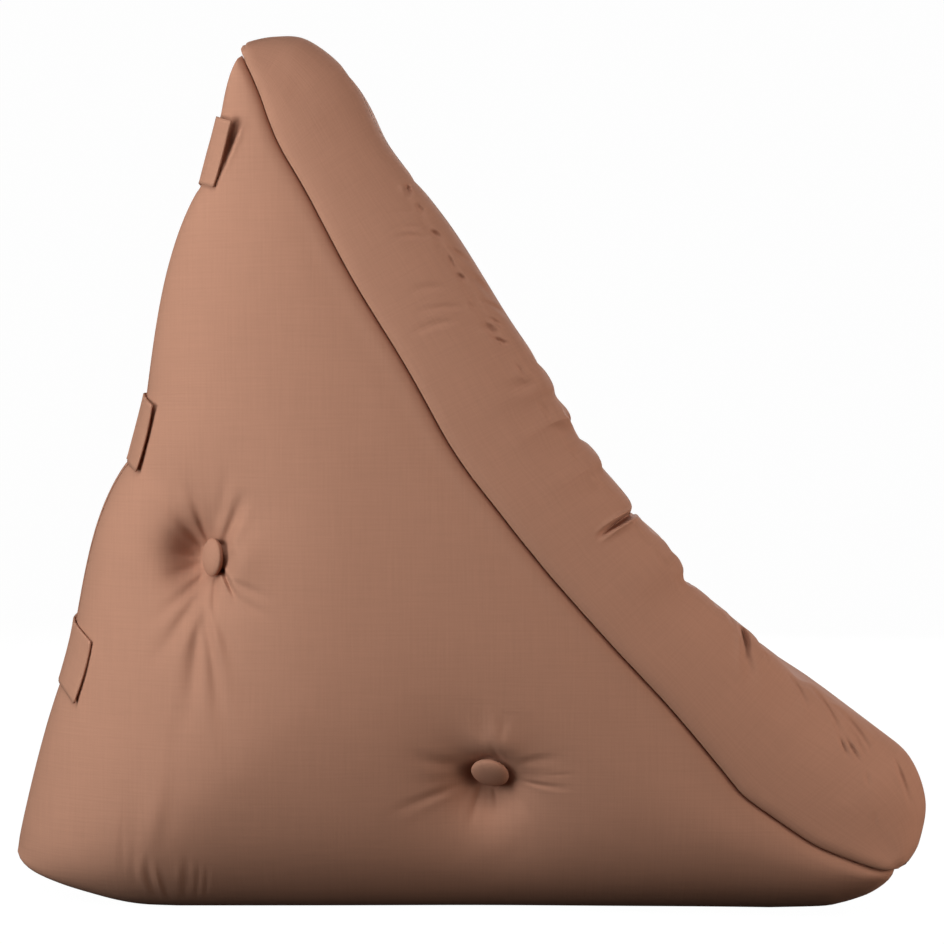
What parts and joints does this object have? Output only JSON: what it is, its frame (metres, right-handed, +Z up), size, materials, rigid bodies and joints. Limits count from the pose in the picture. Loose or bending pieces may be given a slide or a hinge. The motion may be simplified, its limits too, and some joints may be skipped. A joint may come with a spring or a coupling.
{
  "type": "child pouf chair",
  "caption": "Soft wedge-shaped pouf chair for a child: a stuffed body with a thick sloping pad, buttoned sides and flat cloth bands across its back",
  "frame": {"origin": "middle of the chair's box, on the floor that it rests on", "axes": "+X towards the front, down the slope of the seat; +Y across the width; +Z up"},
  "size_m": [0.6818, 0.5684, 0.6444],
  "materials": {
    "wedge_cloth": "plain woven cotton, matt",
    "pad_cloth": "plain woven cotton, matt",
    "button_cloth": "plain woven cotton, matt",
    "band_cloth": "plain woven cotton, matt"
  },
  "bodies": {
    "root": {"wedge": "wedge_cloth", "pad": "pad_cloth", "button_back_near": "button_cloth", "button_back_far": "button_cloth", "button_base_near": "button_cloth", "button_base_far": "button_cloth", "band_upper": "band_cloth", "band_middle": "band_cloth", "band_lower": "band_cloth"}
  },
  "joints": []
}
